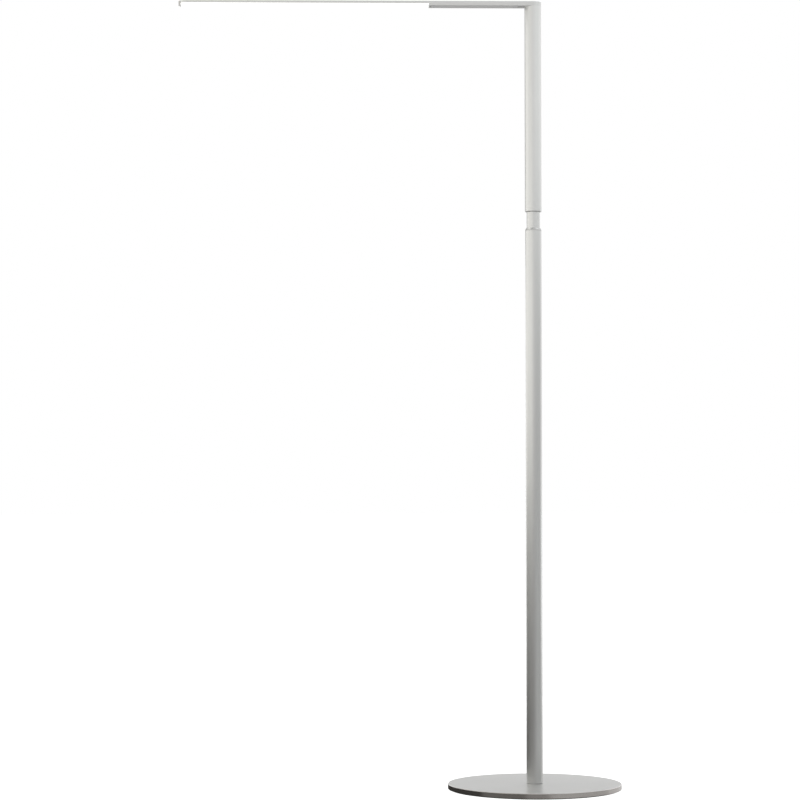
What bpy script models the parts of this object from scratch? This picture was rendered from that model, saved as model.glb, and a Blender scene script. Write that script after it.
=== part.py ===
"""Adjustable arm floor lamp: a disc base, a telescopic pole and a light bar that swivels on the pole.

Run it with blender --background --python part.py, or from Blender's text editor.
Metres, +Z up. The origin is on the floor, under the middle of the base. The arm reaches along -X.
Heights are measured from the floor, with the pole and the arm at rest.
"""

from math import acos, cos, pi, sin, sqrt, tan

import bmesh
import bpy
from mathutils import Vector

# ---- Driving dimensions ----------------------------------------------------------------------

OVERALL_HEIGHT = 1.156
ARM_REACH = 0.522
ARM_THICKNESS = 0.0063
LIT_START = 0.1535
BASE_DIAMETER = 0.254
BASE_THICKNESS = 0.0075
FOOT_PAD_THICKNESS = 0.0008
LOWER_POLE_TOP = 0.8186
COLLAR_HEIGHT = 0.0034
NECK_SHOWN = 0.024
LOWER_TUBE_DIAMETER = 0.024

GAP = 0.0003
LOWER_TUBE_WALL = 0.0009
LINER_WALL = 0.0007
NECK_WALL = 0.0012
SWIVEL_BUSHING_WALL = 0.00085
UPPER_TUBE_WALL = 0.001

LIFT_RANGE = 0.300
LINER_LENGTH = 0.050
COLLAR_SPIGOT = 0.008
SWIVEL_ENGAGEMENT = 0.060
SWIVEL_BUSHING_LENGTH = 0.015

BASE_WEB = 0.0031
WASHER_THICKNESS = 0.001
FOOT_PLUG_LENGTH = 0.030
BOLT_RADIUS = 0.003
BOLT_LENGTH = 0.018
FOOT_PAD_MARGIN = 0.003
GLAND_WIDTH = 0.0082
GLAND_LENGTH = 0.012

LEAD_RADIUS = 0.0013
LEAD_FROM_WALL = 0.0025
LEAD_BEND = 0.004
LEAD_CLEARANCE = 0.0009
CHANNEL_CLEARANCE = 0.00045
COIL_INSET = 0.0011
COIL_WIDTH = 0.0028
COIL_END_GAP = 0.012

SLIDER_LENGTH = 0.020
SLIDER_SPIGOT = 0.022
SLIDER_PLAY = 0.0005
RING_RADIUS = 0.0009
RING_GROOVE_PLAY = 0.0003

STEM_RADIUS = 0.005
STEM_BORE = 0.003
CAP_SPIGOT = 0.020
CAP_FLANGE = 0.002
THRUST_THICKNESS = 0.002
THRUST_WIDTH = 0.0022
SWIVEL_PLATE_THICKNESS = 0.010
WAVE_THICKNESS = 0.0012
NUT_THICKNESS = 0.006
NUT_ACROSS_FLATS = 0.016
STOP_PIN_RADIUS = 0.0008
STOP_LUG_HEIGHT = 0.0018

CORNER_PLUG_LENGTH = 0.025
CORNER_BORE = 0.0026
CORNER_SCREW_RADIUS = 0.0015
CORNER_SCREW_HEAD = 0.00275
CORNER_SCREW_LENGTH = 0.012
TOUCH_RIM = 0.00165
TOUCH_DISC_THICKNESS = 0.001
TOUCH_SENSOR_THICKNESS = 0.0005
TOUCH_SENSOR_SHARE = 0.6

ARM_TOP_SKIN = 0.0017
ARM_SIDE_WALL = 0.0033
COVER_LEDGE = 0.0015
COVER_THICKNESS = 0.0012
COVER_START = 0.022
COVER_END_MARGIN = 0.0035
COVER_CORNER = 0.003
COVER_SEAT = 0.009
COVER_SCREW_RADIUS = 0.001
COVER_SCREW_HEAD = 0.0019
COVER_SCREW_LENGTH = 0.0035
BOARD_THICKNESS = 0.0008
ARM_LEAD_RADIUS = 0.0009
LED_LEAD_RADIUS = 0.0004

LIT_WEB = 0.003
BOARD_RECESS = 0.001
SNAP_RIB_CLEARANCE = 0.0008
SNAP_RIB_WIDTH = 0.00135
SNAP_RIB_END = 0.017
DIFFUSER_INSET = 0.0004
DIFFUSER_WALL = 0.0015
DIFFUSER_DROP = 0.0008
DIFFUSER_ROUND = 0.0022
END_CAP_DEPTH = 0.003
TONGUE_LENGTH = 0.010
TONGUE_WIDTH = 0.009
TONGUE_THICKNESS = 0.0012
LED_COUNT = 10
LED_LENGTH = 0.0035
LED_WIDTH = 0.0028
LED_THICKNESS = 0.0007

TUBE_SIDES = 48
DISC_SIDES = 96
SMALL_SIDES = 24
SCREW_SIDES = 16
RING_SECTION_SIDES = 8
ARC_STEPS = 8
FILLET_STEPS = 3
EDGE_STEPS = 2
CUT_MARGIN = 0.002

# ---- Sizes that follow from them ---------------------------------------------------------------

base_radius = BASE_DIAMETER / 2
plate_bottom = FOOT_PAD_THICKNESS + GAP
plate_top = plate_bottom + BASE_THICKNESS
web_bottom = plate_top - BASE_WEB

lower_outer = LOWER_TUBE_DIAMETER / 2
lower_inner = lower_outer - LOWER_TUBE_WALL
liner_outer = lower_inner - GAP
liner_inner = liner_outer - LINER_WALL
neck_outer = liner_inner - GAP
neck_inner = neck_outer - NECK_WALL
bushing_inner = neck_outer + GAP
bushing_outer = bushing_inner + SWIVEL_BUSHING_WALL
upper_inner = bushing_outer + GAP
upper_outer = upper_inner + UPPER_TUBE_WALL

pole_foot = plate_top + GAP
collar_top = LOWER_POLE_TOP + GAP + COLLAR_HEIGHT
liner_top = LOWER_POLE_TOP + GAP - COLLAR_SPIGOT - GAP
liner_bottom = liner_top - LINER_LENGTH
slider_top = liner_bottom - LIFT_RANGE - GAP
slider_bottom = slider_top - SLIDER_LENGTH
neck_foot = slider_top + GAP

upper_foot = collar_top + NECK_SHOWN
arm_top = OVERALL_HEIGHT
arm_bottom = arm_top - ARM_THICKNESS
upper_head = arm_bottom - GAP
neck_head = upper_foot + SWIVEL_ENGAGEMENT

lead_offset = lower_inner - LEAD_FROM_WALL
lead_hole = LEAD_RADIUS + LEAD_CLEARANCE
washer_radius = lead_offset - lead_hole - 3 * GAP
lead_height = plate_bottom + LEAD_RADIUS + GAP
channel_top = lead_height + lead_hole
foot_plug_bottom = pole_foot
foot_plug_top = foot_plug_bottom + FOOT_PLUG_LENGTH
coil_bottom = foot_plug_top + COIL_END_GAP
coil_top = slider_bottom - COIL_END_GAP

cap_top = neck_head + GAP + CAP_FLANGE
thrust_bottom = cap_top + GAP
swivel_plate_bottom = thrust_bottom + THRUST_THICKNESS + GAP
swivel_plate_top = swivel_plate_bottom + SWIVEL_PLATE_THICKNESS
friction_bottom = swivel_plate_top + GAP
wave_bottom = friction_bottom + WASHER_THICKNESS + GAP
nut_bottom = wave_bottom + WAVE_THICKNESS + GAP
stem_top = nut_bottom + NUT_THICKNESS + 2 * GAP
stop_circle = neck_outer - STOP_PIN_RADIUS - GAP

arm_half = upper_outer
tip_centre = -(ARM_REACH - arm_half)
cap_start = -(ARM_REACH - END_CAP_DEPTH)
frame_end = cap_start + GAP
lit_start = -LIT_START
web_under = arm_top - LIT_WEB
touch_recess = arm_half - TOUCH_RIM
corner_plug_top = upper_head - GAP
corner_screw_at = touch_recess - CORNER_SCREW_HEAD - 2 * GAP
touch_floor = arm_top - TOUCH_DISC_THICKNESS - TOUCH_SENSOR_THICKNESS - 2 * GAP

pocket_half = arm_half - ARM_SIDE_WALL
pocket_top = arm_top - ARM_TOP_SKIN
cover_half = pocket_half + COVER_LEDGE - GAP
cover_top = arm_bottom + COVER_THICKNESS
cover_end = lit_start + COVER_END_MARGIN
pocket_start = -COVER_START - COVER_SEAT
pocket_end = cover_end + COVER_SEAT
board_bottom = pocket_top - GAP - BOARD_THICKNESS
component_height = board_bottom - cover_top - 2 * GAP
arm_lead_height = cover_top + GAP + ARM_LEAD_RADIUS
led_lead_height = (cover_top + arm_top - LIT_WEB) / 2

diffuser_half = arm_half - DIFFUSER_INSET
diffuser_top = web_under - GAP
diffuser_bottom = arm_bottom - DIFFUSER_DROP
diffuser_floor = diffuser_bottom + DIFFUSER_WALL
rib_bottom = diffuser_floor + SNAP_RIB_CLEARANCE
rib_outer = diffuser_half - DIFFUSER_WALL - GAP
rib_inner = rib_outer - SNAP_RIB_WIDTH
rib_start = lit_start - DIFFUSER_WALL - 3 * GAP
rib_end = -(ARM_REACH - SNAP_RIB_END)
tongue_top = web_under - GAP
tongue_bottom = tongue_top - TONGUE_THICKNESS
led_board_top = web_under + BOARD_RECESS - GAP
led_board_bottom = led_board_top - BOARD_THICKNESS
led_board_start = rib_start - GAP
led_top = led_board_bottom - GAP


# ---- Materials ---------------------------------------------------------------------------------

def material(name, colour, roughness, metallic=0.0, glow=0.0):
    """Principled material; glow is its emission strength."""
    made = bpy.data.materials.new(name)
    made.use_nodes = True
    shader = made.node_tree.nodes["Principled BSDF"]
    shader.inputs["Base Color"].default_value = (*colour, 1.0)
    shader.inputs["Roughness"].default_value = roughness
    shader.inputs["Metallic"].default_value = metallic
    if glow:
        shader.inputs["Emission Color"].default_value = (*colour, 1.0)
        shader.inputs["Emission Strength"].default_value = glow
    return made


def make_materials():
    """Finishes of the lamp, by name."""
    return {
        "satin_metal": material("satin_metal", (0.60, 0.60, 0.59), 0.36, 1.0),
        "plated_steel": material("plated_steel", (0.52, 0.50, 0.48), 0.30, 1.0),
        "zinc_steel": material("zinc_steel", (0.55, 0.56, 0.58), 0.35, 1.0),
        "black_rubber": material("black_rubber", (0.03, 0.03, 0.03), 0.80),
        "white_bearing": material("white_bearing", (0.80, 0.80, 0.78), 0.45),
        "cable_jacket": material("cable_jacket", (0.75, 0.75, 0.73), 0.50),
        "circuit_board": material("circuit_board", (0.80, 0.81, 0.79), 0.45),
        "component_black": material("component_black", (0.04, 0.04, 0.045), 0.40),
        "led_emitter": material("led_emitter", (1.00, 0.93, 0.80), 0.40, glow=4.0),
        "opal_diffuser": material("opal_diffuser", (0.95, 0.95, 0.93), 0.40, glow=2.0),
        "touch_plastic": material("touch_plastic", (0.45, 0.45, 0.45), 0.30),
    }


# ---- Outlines ----------------------------------------------------------------------------------

def rounded(corners, steps=FILLET_STEPS):
    """Outline through (x, y, radius) corners, each corner turned into an arc of its radius."""
    outline = []
    count = len(corners)
    for index, (x, y, radius) in enumerate(corners):
        corner = Vector((x, y))
        if radius <= 0:
            outline.append((x, y))
            continue
        before = (Vector(corners[index - 1][:2]) - corner).normalized()
        after = (Vector(corners[(index + 1) % count][:2]) - corner).normalized()
        half_angle = acos(max(-1.0, min(1.0, before.dot(after)))) / 2
        start = corner + before * (radius / tan(half_angle))
        end = corner + after * (radius / tan(half_angle))
        centre = corner + (before + after).normalized() * (radius / sin(half_angle))
        sweep = pi - 2 * half_angle
        for step in range(steps + 1):
            turned_by = sweep * step / steps
            from_start = (start - centre) * sin(sweep - turned_by)
            from_end = (end - centre) * sin(turned_by)
            outline.append(tuple(centre + (from_start + from_end) / sin(sweep)))
    return outline


def tube_outline(outer, inner, bottom, top, bottom_round=0.0, top_round=0.0):
    """Section of a tube, with its outer edges rounded."""
    corners = [(inner, bottom, 0), (outer, bottom, bottom_round), (outer, top, top_round), (inner, top, 0)]
    return rounded(corners, steps=EDGE_STEPS)


def rod_outline(radius, bottom, top):
    """Section of a solid rod."""
    return [(0, bottom), (radius, bottom), (radius, top), (0, top)]


def slab_outline(start, end, half_width, corner):
    """Rectangle from start to end along X, with round corners."""
    low, high = min(start, end), max(start, end)
    return rounded([
        (low, -half_width, corner),
        (high, -half_width, corner),
        (high, half_width, corner),
        (low, half_width, corner),
    ])


def arm_outline(half_width, start, end):
    """Plan of the arm from start back to end, with the arm's round ends where they fall between."""
    stations = {start, end, 0.0, tip_centre}
    for step in range(ARC_STEPS + 1):
        along = half_width * sin(pi / 2 * step / ARC_STEPS)
        stations.add(along)
        stations.add(tip_centre - along)
    side = []
    for station in sorted({round(value, 9) for value in stations if end <= value <= start}):
        past_end = max(station, tip_centre - station, 0.0)
        side.append((station, sqrt(max(half_width ** 2 - past_end ** 2, 0.0))))
    near = [(x, -y) for x, y in side]
    far = [(x, y) for x, y in reversed(side) if y > GAP / 10]
    return near + far


def signed_area(outline):
    """Area of an outline: positive when it runs anticlockwise."""
    pairs = zip(outline, outline[1:] + outline[:1])
    return sum(a[0] * b[1] - b[0] * a[1] for a, b in pairs) / 2


# ---- Solids ------------------------------------------------------------------------------------

def mesh_object(name, mesh, finish):
    """Object from a bmesh, shaded smooth except at its sharp edges."""
    bmesh.ops.recalc_face_normals(mesh, faces=mesh.faces)
    data = bpy.data.meshes.new(name)
    mesh.to_mesh(data)
    mesh.free()
    data.shade_smooth()
    data.set_sharp_from_angle(angle=pi / 6)
    made = bpy.data.objects.new(name, data)
    bpy.context.collection.objects.link(made)
    if finish:
        data.materials.append(finish)
    return made


def turned(name, outline, finish=None, sides=TUBE_SIDES):
    """Solid of revolution about Z from a closed (radius, height) outline."""
    outline = list(outline)
    if signed_area(outline) < 0:
        outline.reverse()
    mesh = bmesh.new()
    rings = []
    for radius, height in outline:
        if radius <= 0:
            rings.append([mesh.verts.new((0, 0, height))])
            continue
        angles = [2 * pi * side / sides for side in range(sides)]
        rings.append([mesh.verts.new((radius * cos(a), radius * sin(a), height)) for a in angles])
    for lower, upper in zip(rings, rings[1:] + rings[:1]):
        if len(lower) == 1 and len(upper) == 1:
            continue
        for side in range(sides):
            following = (side + 1) % sides
            corners = [
                lower[side % len(lower)],
                lower[following % len(lower)],
                upper[following % len(upper)],
                upper[side % len(upper)],
            ]
            mesh.faces.new(dict.fromkeys(corners))
    return mesh_object(name, mesh, finish)


def prism(name, outline, bottom, top, finish=None, bottom_round=0.0):
    """Upright solid with the outline as its plan; bottom_round rounds its lower edge."""
    outline = list(outline)
    if signed_area(outline) < 0:
        outline.reverse()
    mesh = bmesh.new()
    lower = [mesh.verts.new((x, y, bottom)) for x, y in outline]
    upper = [mesh.verts.new((x, y, top)) for x, y in outline]
    floor = mesh.faces.new(reversed(lower))
    mesh.faces.new(upper)
    count = len(outline)
    for index in range(count):
        following = (index + 1) % count
        mesh.faces.new((lower[index], lower[following], upper[following], upper[index]))
    if bottom_round:
        edges = list(floor.edges)
        bmesh.ops.bevel(mesh, geom=edges, offset=bottom_round, segments=4, profile=0.5, affect="EDGES")
    return mesh_object(name, mesh, finish)


def block(name, x_range, y_range, bottom, top, finish=None):
    """Box between two values on each axis."""
    (x0, x1), (y0, y1) = x_range, y_range
    return prism(name, [(x0, y0), (x1, y0), (x1, y1), (x0, y1)], bottom, top, finish)


def hexagon(across_flats):
    """Outline of a hexagon."""
    radius = across_flats / 2 / cos(pi / 6)
    return [(radius * cos(pi / 3 * k), radius * sin(pi / 3 * k)) for k in range(6)]


def torus(name, ring_radius, section_radius, height, finish):
    """Round ring about Z."""
    section = []
    for step in range(RING_SECTION_SIDES):
        angle = 2 * pi * step / RING_SECTION_SIDES
        section.append((ring_radius + section_radius * cos(angle), height + section_radius * sin(angle)))
    return turned(name, section, finish, sides=SMALL_SIDES)


def lead(name, route, radius, finish):
    """Round lead along a list of points."""
    curve = bpy.data.curves.new(name, "CURVE")
    curve.dimensions = "3D"
    curve.bevel_depth = radius
    curve.bevel_resolution = 2
    curve.use_fill_caps = True
    spline = curve.splines.new("POLY")
    spline.points.add(len(route) - 1)
    for point, place in zip(spline.points, route):
        point.co = (*place, 1.0)
    curve.materials.append(finish)
    made = bpy.data.objects.new(name, curve)
    bpy.context.collection.objects.link(made)
    return made


def smooth_step(share):
    """Ease from 0 to 1 with level ends."""
    return share * share * (3 - 2 * share)


def turned_screw(name, head_radius, shank_radius, length, finish):
    """Countersunk screw, head up, its head's face at height 0."""
    cone = head_radius - shank_radius
    recess = shank_radius * 0.55
    outline = [
        (0, -cone * 0.8),
        (recess, -cone * 0.8),
        (recess, 0),
        (head_radius, 0),
        (head_radius, -GAP / 2),
        (shank_radius, -GAP / 2 - cone),
        (shank_radius, -length + shank_radius / 2),
        (shank_radius / 2, -length),
        (0, -length),
    ]
    return turned(name, outline, finish, sides=SCREW_SIDES)


def screw_hole(name, head_radius, shank_radius, length):
    """Cutter for a countersunk screw: its own shape with the clearance all round, open above."""
    cone = head_radius - shank_radius
    outline = [
        (0, CUT_MARGIN),
        (head_radius + GAP, CUT_MARGIN),
        (head_radius + GAP, -GAP),
        (shank_radius + GAP, -GAP - cone),
        (shank_radius + GAP, -length - GAP),
        (0, -length - GAP),
    ]
    return turned(name, outline, sides=SCREW_SIDES)


def combine(target, tool, operation):
    """Boolean of a hidden tool shape on a piece."""
    tool.hide_render = True
    tool.display_type = "WIRE"
    modifier = target.modifiers.new(tool.name, "BOOLEAN")
    modifier.operation = operation
    modifier.object = tool
    modifier.solver = "EXACT"


def cut(target, tool):
    """Cut the tool's shape out of a piece."""
    combine(target, tool, "DIFFERENCE")


def join(target, tool):
    """Add the tool's shape to a piece."""
    combine(target, tool, "UNION")


def axis_empty(name, height):
    """Empty on the pole's axis, which the pieces that move together hang from."""
    empty = bpy.data.objects.new(name, None)
    empty.location = (0, 0, height)
    bpy.context.collection.objects.link(empty)
    return empty


def mount_on(empty, pieces):
    """Parent pieces to an empty, so that their origins are on its axis and they stay where they are."""
    for piece in pieces:
        piece.location -= empty.location
        piece.parent = empty


# ---- Base ---------------------------------------------------------------------------------------

def make_base_plate(finish):
    """Steel disc with a counterbore for the bolt and a channel below for the lead."""
    edge = min(0.0009, BASE_THICKNESS / 4)
    bolt_hole = BOLT_RADIUS + GAP
    counterbore = washer_radius + GAP
    outline = rounded([
        (bolt_hole, web_bottom, 0),
        (counterbore, web_bottom, 0),
        (counterbore, plate_bottom, 0),
        (base_radius, plate_bottom, edge / 2),
        (base_radius, plate_top, edge),
        (bolt_hole, plate_top, 0),
    ])
    plate = turned("base_plate", outline, finish, sides=DISC_SIDES)
    below = plate_bottom - CUT_MARGIN
    riser = rod_outline(lead_hole, below, plate_top + CUT_MARGIN)
    riser_tool = turned("cut_lead_riser", riser, sides=SMALL_SIDES)
    riser_tool.location.y = lead_offset
    riser_tool.rotation_euler.z = pi / SMALL_SIDES
    cut(plate, riser_tool)
    channel_end = base_radius + CUT_MARGIN
    half = LEAD_RADIUS + CHANNEL_CLEARANCE
    cut(plate, block("cut_channel", (-half, half), (lead_offset, channel_end), below, channel_top))
    pocket_half_width = GLAND_WIDTH / 2 + GAP
    pocket_from = base_radius - GLAND_LENGTH - GAP
    pocket = (-pocket_half_width, pocket_half_width)
    cut(plate, block("cut_gland_pocket", pocket, (pocket_from, channel_end), below, channel_top + GAP))
    return plate


def make_cable_gland(finish):
    """Rubber inlet in the rear rim, with a bore for a lead."""
    front = sqrt(base_radius ** 2 - (GLAND_WIDTH / 2) ** 2) - GAP
    half = GLAND_WIDTH / 2
    sides = (base_radius - GLAND_LENGTH, front)
    gland = block("cable_gland", (-half, half), sides, plate_bottom + GAP, channel_top, finish)
    bore_outline = rod_outline(LEAD_RADIUS + GAP, 0, GLAND_LENGTH + 2 * CUT_MARGIN)
    bore = turned("cut_gland_bore", bore_outline, sides=SMALL_SIDES)
    bore.rotation_euler.x = -pi / 2
    bore.location = (0, base_radius - GLAND_LENGTH - CUT_MARGIN, gland_axis())
    cut(gland, bore)
    return gland


def gland_axis():
    """Height of the gland's bore."""
    return (plate_bottom + GAP + channel_top) / 2


def base_lead_route():
    """Along the channel, round the bend and up inside the pole, to just under the coiled lead."""
    route = []
    gland_end = base_radius - GLAND_LENGTH / 2
    channel_bend = lead_offset + LEAD_BEND
    drop_start = base_radius - 2 * GLAND_LENGTH
    drop_end = drop_start - GLAND_LENGTH
    for step in range(3):
        route.append((0, gland_end + (drop_start - gland_end) * step / 2, gland_axis()))
    for step in range(1, 5):
        share = step / 4
        height = gland_axis() + (lead_height - gland_axis()) * smooth_step(share)
        route.append((0, drop_start + (drop_end - drop_start) * share, height))
    for step in range(ARC_STEPS + 1):
        angle = pi / 2 * step / ARC_STEPS
        route.append((0, channel_bend - LEAD_BEND * sin(angle), lead_height + LEAD_BEND * (1 - cos(angle))))
    route.append((0, lead_offset, foot_plug_top))
    route.append((0, lead_offset, coil_bottom - GAP))
    return route


def make_foot_plug(finish):
    """Plug in the pole's foot, threaded for the bolt, with a groove for the lead."""
    bottom, top = foot_plug_bottom, foot_plug_top
    plug = turned("foot_plug", tube_outline(lower_inner - GAP, BOLT_RADIUS + GAP, bottom, top), finish)
    groove = block("cut_plug_groove", (-lead_hole, lead_hole), (lead_offset - lead_hole, lower_outer),
                   bottom - CUT_MARGIN, top + CUT_MARGIN)
    cut(plug, groove)
    return plug


def make_base_bolt(finish):
    """Hexagon bolt that draws the pole down on the plate."""
    head_top = web_bottom - GAP - WASHER_THICKNESS - GAP
    head_bottom = plate_bottom + GAP
    flats = 2 * (washer_radius - GAP) * cos(pi / 6)
    bolt = prism("base_bolt", hexagon(flats), head_bottom, head_top, finish)
    inside_head = (head_bottom + head_top) / 2
    tip = plate_top + BOLT_LENGTH
    outline = [
        (0, inside_head),
        (BOLT_RADIUS, inside_head),
        (BOLT_RADIUS, tip - GAP * 2),
        (BOLT_RADIUS - GAP * 2, tip),
        (0, tip),
    ]
    join(bolt, turned("add_bolt_shank", outline, sides=SMALL_SIDES))
    return bolt


def make_collar(finish):
    """Chamfered end ring of the lower pole, with a spigot inside the tube."""
    bore = neck_outer + GAP
    seat = LOWER_POLE_TOP + GAP
    shoulder = seat + COLLAR_HEIGHT * 0.22
    outline = [
        (bore, seat - COLLAR_SPIGOT),
        (liner_outer, seat - COLLAR_SPIGOT),
        (liner_outer, seat),
        (lower_outer, seat),
        (lower_outer, shoulder),
        (bore + GAP, collar_top),
        (bore, collar_top),
    ]
    return turned("pole_collar", outline, finish)


def make_base_body(finishes):
    """Everything that stands still."""
    pad_radius = base_radius - FOOT_PAD_MARGIN
    steel, metal = finishes["zinc_steel"], finishes["satin_metal"]
    bearing, jacket = finishes["white_bearing"], finishes["cable_jacket"]
    pad = rod_outline(pad_radius, 0, FOOT_PAD_THICKNESS)
    washer_top = web_bottom - GAP
    washer = tube_outline(washer_radius, BOLT_RADIUS + GAP, washer_top - WASHER_THICKNESS, washer_top)
    coil_outer = lower_inner - COIL_INSET
    coil = tube_outline(coil_outer, coil_outer - COIL_WIDTH, coil_bottom, coil_top)
    pole = tube_outline(lower_outer, lower_inner, pole_foot, LOWER_POLE_TOP, GAP / 2, GAP / 2)
    return [
        turned("foot_pad", pad, finishes["black_rubber"], sides=DISC_SIDES),
        make_base_plate(finishes["plated_steel"]),
        make_cable_gland(finishes["black_rubber"]),
        make_base_bolt(steel),
        turned("base_washer", washer, steel, sides=SMALL_SIDES),
        make_foot_plug(steel),
        lead("base_lead", base_lead_route(), LEAD_RADIUS, jacket),
        turned("coiled_lead", coil, jacket, sides=SMALL_SIDES),
        turned("lower_pole", pole, metal),
        make_collar(metal),
        turned("guide_liner", tube_outline(liner_outer, liner_inner, liner_bottom, liner_top), bearing),
    ]


# ---- Neck ---------------------------------------------------------------------------------------

def make_slider_plug(finish):
    """Plug under the neck tube. Its collar is the pull-out stop, and two grooves hold the rings."""
    bore = LEAD_RADIUS * 3
    collar = lower_inner - SLIDER_PLAY
    groove = ring_centre() - RING_RADIUS - RING_GROOVE_PLAY
    half = RING_RADIUS + RING_GROOVE_PLAY
    outline = [(bore, slider_bottom), (collar, slider_bottom)]
    for height in ring_heights():
        low, high = height - half, height + half
        outline += [(collar, low), (groove, low), (groove, high), (collar, high)]
    outline += [
        (collar, slider_top),
        (neck_inner - GAP, slider_top),
        (neck_inner - GAP, slider_top + SLIDER_SPIGOT),
        (bore, slider_top + SLIDER_SPIGOT),
    ]
    return turned("slider_plug", outline, finish)


def ring_centre():
    """Radius of a friction ring's centre line."""
    return lower_inner - GAP - RING_RADIUS


def ring_heights():
    """Heights of the two friction rings on the slider."""
    return [slider_bottom + SLIDER_LENGTH * share for share in (0.28, 0.72)]


def make_swivel_cap(finish):
    """Cap on the neck tube: spigot, flange, hollow stem and the stop lug."""
    outline = [
        (STEM_BORE, neck_head - CAP_SPIGOT),
        (neck_inner - GAP, neck_head - CAP_SPIGOT),
        (neck_inner - GAP, neck_head + GAP),
        (neck_outer, neck_head + GAP),
        (neck_outer, cap_top),
        (STEM_RADIUS, cap_top),
        (STEM_RADIUS, stem_top),
        (STEM_BORE, stem_top),
    ]
    cap = turned("swivel_cap", outline, finish)
    inner = stop_circle - STOP_PIN_RADIUS
    outer = neck_outer - GAP
    lug = block("add_stop_lug", (inner, outer), (-STOP_PIN_RADIUS, STOP_PIN_RADIUS),
                cap_top - CAP_FLANGE / 2, cap_top + STOP_LUG_HEIGHT)
    join(cap, lug)
    return cap


def neck_lead_route():
    """From the coiled lead into the slider's bore, then up the axis to the top of the stem."""
    route = [(0, lead_offset, coil_top + GAP)]
    start = coil_top + LEAD_RADIUS
    straight = slider_bottom - LEAD_RADIUS
    for step in range(ARC_STEPS + 1):
        share = step / ARC_STEPS
        route.append((0, lead_offset * (1 - smooth_step(share)), start + (straight - start) * share))
    route.append((0, 0, neck_head))
    route.append((0, 0, stem_top))
    return route


def make_stem_nut(finish):
    """Nut that sets the swivel's friction."""
    flats = min(NUT_ACROSS_FLATS, 2 * (upper_inner - GAP) * cos(pi / 6) - GAP)
    nut = prism("stem_nut", hexagon(flats), nut_bottom, nut_bottom + NUT_THICKNESS, finish)
    bore = rod_outline(STEM_RADIUS + GAP, nut_bottom - CUT_MARGIN, nut_bottom + NUT_THICKNESS + CUT_MARGIN)
    cut(nut, turned("cut_nut_bore", bore, sides=SMALL_SIDES))
    return nut


def make_neck_body(finishes):
    """Everything that slides up and down but doesn't turn."""
    steel, metal = finishes["zinc_steel"], finishes["satin_metal"]
    rubber, bearing = finishes["black_rubber"], finishes["white_bearing"]
    stem_clear = STEM_RADIUS + GAP
    washer_outer = stem_clear + THRUST_WIDTH
    thrust = tube_outline(washer_outer, stem_clear, thrust_bottom, thrust_bottom + THRUST_THICKNESS)
    friction = tube_outline(washer_outer, stem_clear, friction_bottom, friction_bottom + WASHER_THICKNESS)
    wave = tube_outline(washer_outer - GAP, stem_clear, wave_bottom, wave_bottom + WAVE_THICKNESS)
    pieces = [
        turned("neck_pole", tube_outline(neck_outer, neck_inner, neck_foot, neck_head), metal),
        make_slider_plug(bearing),
        lead("neck_lead", neck_lead_route(), LEAD_RADIUS, finishes["cable_jacket"]),
        make_swivel_cap(steel),
        turned("thrust_washer", thrust, bearing, sides=SMALL_SIDES),
        turned("friction_washer", friction, bearing, sides=SMALL_SIDES),
        turned("wave_washer", wave, steel, sides=SMALL_SIDES),
        make_stem_nut(steel),
    ]
    for number, height in enumerate(ring_heights(), start=1):
        pieces.append(torus(f"friction_ring_{number}", ring_centre(), RING_RADIUS, height, rubber))
    return pieces


# ---- Swivel and corner --------------------------------------------------------------------------

def make_swivel_plate(finish):
    """Plug pressed into the upper pole, which turns on the stem; the stop pin sits in it."""
    outline = tube_outline(upper_inner - GAP, STEM_RADIUS + GAP, swivel_plate_bottom, swivel_plate_top)
    plate = turned("swivel_plate", outline, finish)
    low, high = swivel_plate_bottom - CUT_MARGIN, swivel_plate_bottom + SWIVEL_PLATE_THICKNESS / 2
    pin_hole = turned("cut_pin_hole", rod_outline(STOP_PIN_RADIUS + GAP, low, high), sides=SMALL_SIDES)
    pin_hole.location.x = -stop_circle
    cut(plate, pin_hole)
    return plate


def make_stop_pin(finish):
    """Pin that meets the lug after most of a turn each way."""
    low = cap_top + GAP * 2
    high = swivel_plate_bottom + SWIVEL_PLATE_THICKNESS / 2 - GAP
    pin = turned("stop_pin", rod_outline(STOP_PIN_RADIUS, low, high), finish, sides=SCREW_SIDES)
    pin.location.x = -stop_circle
    return pin


def make_corner_plug(finish):
    """Plug in the head of the upper pole that the arm is screwed to."""
    bottom = corner_plug_top - CORNER_PLUG_LENGTH
    outline = tube_outline(upper_inner - GAP, CORNER_BORE, bottom, corner_plug_top)
    plug = turned("corner_plug", outline, finish)
    low, high = touch_floor - CORNER_SCREW_LENGTH - GAP * 2, corner_plug_top + CUT_MARGIN
    hole = rod_outline(CORNER_SCREW_RADIUS + GAP, low, high)
    for number, side in enumerate((-1, 1), start=1):
        tool = turned(f"cut_plug_hole_{number}", hole, sides=SMALL_SIDES)
        tool.location.y = side * corner_screw_at
        cut(plug, tool)
    return plug


def arm_lead_route():
    """From the stem up the pole's axis, then round into the arm."""
    bend = arm_lead_height - (stem_top + GAP)
    radius = min(LEAD_BEND, bend)
    turn_start = arm_lead_height - radius
    route = [(0, 0, stem_top + GAP), (0, 0, (stem_top + turn_start) / 2)]
    for step in range(ARC_STEPS + 1):
        angle = pi / 2 * step / ARC_STEPS
        route.append((-radius * (1 - cos(angle)), 0, turn_start + radius * sin(angle)))
    route.append((pocket_start - GAP, 0, arm_lead_height))
    return route


# ---- Arm ----------------------------------------------------------------------------------------

def cover_screw_places():
    """Places of the heads of the driver cover's four screws."""
    near = -COVER_START - COVER_SEAT / 2
    far = cover_end + COVER_SEAT / 2
    across = (pocket_half + CORNER_BORE) / 2
    return [(x, y, arm_bottom) for x in (near, far) for y in (-across, across)]


def end_cap_screw_place():
    """Place of the head of the end cap's screw."""
    return cap_start + TONGUE_LENGTH * 0.6, 0.0, tongue_bottom


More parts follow.
